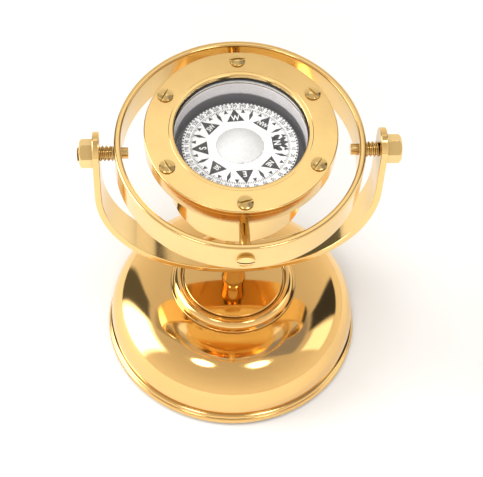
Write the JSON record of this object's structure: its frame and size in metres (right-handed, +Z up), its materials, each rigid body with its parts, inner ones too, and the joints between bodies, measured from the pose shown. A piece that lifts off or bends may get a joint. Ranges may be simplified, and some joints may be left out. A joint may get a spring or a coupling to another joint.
{
  "type": "gimballed compass on stand",
  "caption": "Brass marine compass: a liquid-filled bowl under a screwed bezel, hung in a gimbal ring and yoke on a round spun base.",
  "frame": {"origin": "on the table under the middle of the base", "axes": "+Z up; +X along the yoke's pivot axis towards the hex-headed pivot; -Y is the front, towards the reader"},
  "size_m": [0.1658, 0.144, 0.1778],
  "materials": {
    "polished_brass": "polished",
    "turned_brass": "turned",
    "screw_brass": "bright",
    "steel": "zinc plated",
    "iron": "as cast",
    "lead": "dull",
    "baize": "felted",
    "rubber": "matt",
    "pale_rubber": "matt",
    "glass": "clear",
    "white_enamel": "satin",
    "grey_enamel": "matt",
    "card_white": "printed",
    "float_white": "satin",
    "jewel": "polished",
    "fibre": "matt"
  },
  "bodies": {
    "stand": {"base_felt": "baize", "base_plate": "steel", "foot_ring": "polished_brass", "base_ballast": "iron", "ballast_tube": "steel", "base_dome": "polished_brass", "collar_ring": "turned_brass", "pedestal_cap": "turned_brass", "stem": "turned_brass", "tie_bolt": "steel", "tie_washer": "turned_brass", "tie_nut": "turned_brass", "yoke": "polished_brass", "pivot_stud": "screw_brass", "pivot_nut": "screw_brass", "pivot_bolt": "screw_brass"},
    "gimbal": {"gimbal_ring": "polished_brass", "bowl_pivot_screws": "screw_brass"},
    "bowl": {"bowl_case": "polished_brass", "pivot_bosses": "turned_brass", "bezel_ring": "polished_brass", "bezel_screws": "screw_brass", "window_gasket": "rubber", "window_glass": "glass", "glass_seal": "pale_rubber", "chamber_liner": "white_enamel", "chamber_floor": "grey_enamel", "pivot_post": "turned_brass", "pivot_point": "steel", "expansion_diaphragm": "turned_brass", "bowl_weight": "lead", "bowl_cover": "turned_brass", "cover_screws": "screw_brass", "filler_plug": "screw_brass", "plug_washer": "fibre"},
    "card": {"compass_card": "card_white", "float_chamber": "float_white", "jewel_cup": "jewel", "card_magnets": "steel"}
  },
  "joints": [
    {"name": "ring_tilt", "type": "hinge", "parent": "stand", "child": "gimbal", "pos_m": [0, 0, 0.152], "axis": [1, 0, 0], "continuous": true},
    {"name": "bowl_tilt", "type": "hinge", "parent": "gimbal", "child": "bowl", "pos_m": [0, 0, 0.152], "axis": [0, 0.9925, 0.1219], "continuous": true},
    {"name": "card_turn", "type": "hinge", "parent": "bowl", "child": "card", "pos_m": [0, -0.00037, 0.15498], "axis": [0, 0, 1], "continuous": true}
  ]
}
